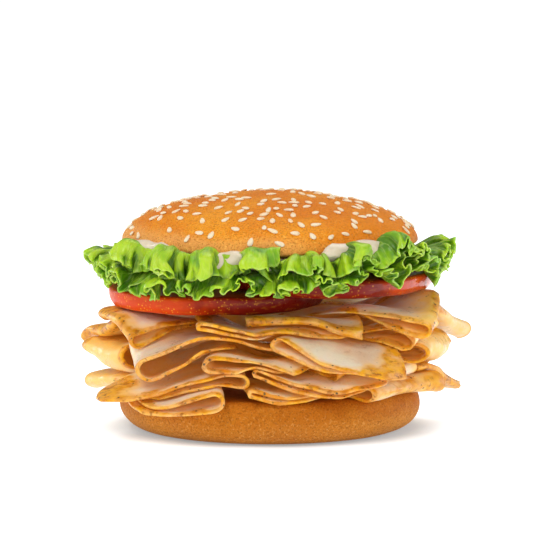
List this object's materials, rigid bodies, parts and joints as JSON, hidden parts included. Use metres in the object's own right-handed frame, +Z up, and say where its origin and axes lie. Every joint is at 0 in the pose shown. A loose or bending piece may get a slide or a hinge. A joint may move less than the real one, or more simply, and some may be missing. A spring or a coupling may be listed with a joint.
{
  "type": "turkey sandwich on a sesame bun",
  "caption": "Round sesame-seed bun filled with folded slices of roast turkey, tomato, frilled lettuce and mayonnaise.",
  "frame": {"origin": "middle of the flat foot of the bun heel, on the surface that the sandwich stands on", "axes": "+Z up through the middle of the bun; the front of the sandwich faces -Y and +X is to its right"},
  "size_m": [0.1499, 0.1316, 0.0911],
  "materials": {
    "crust": "baked bun crust, satin, finely pored",
    "turkey": "moist sliced roast turkey with a golden peppered rim",
    "tomato": "wet ripe tomato",
    "lettuce": "crisp frilled lettuce leaf, satin",
    "mayonnaise": "smooth creamy gloss"
  },
  "bodies": {
    "root": {"bun_heel": "crust", "turkey_left_low": "turkey", "turkey_back_low": "turkey", "turkey_front_low_left": "turkey", "turkey_right_low_front": "turkey", "turkey_front_low_mid": "turkey", "turkey_right_low": "turkey", "turkey_back_mid_left": "turkey", "turkey_left_tip": "turkey", "turkey_front_mid": "turkey", "turkey_left_mid": "turkey", "turkey_back_mid_right": "turkey", "turkey_back_mid": "turkey", "turkey_front_right": "turkey", "turkey_right_mid": "turkey", "turkey_front_corner": "turkey", "turkey_front_roll": "turkey", "turkey_right_corner": "turkey", "turkey_right_mid_front": "turkey", "turkey_left_top": "turkey", "turkey_back_top": "turkey", "turkey_left_top_front": "turkey", "turkey_front_top_left": "turkey", "turkey_back_top_right": "turkey", "turkey_back_top_left": "turkey", "turkey_right_top_back": "turkey", "turkey_top_middle": "turkey", "turkey_front_top": "turkey", "turkey_right_top_front": "turkey", "tomato_left": "tomato", "tomato_right": "tomato", "lettuce_leaf_1": "lettuce", "lettuce_leaf_2": "lettuce", "lettuce_leaf_3": "lettuce", "mayonnaise": "mayonnaise", "bun_crown": "crust"}
  },
  "joints": []
}
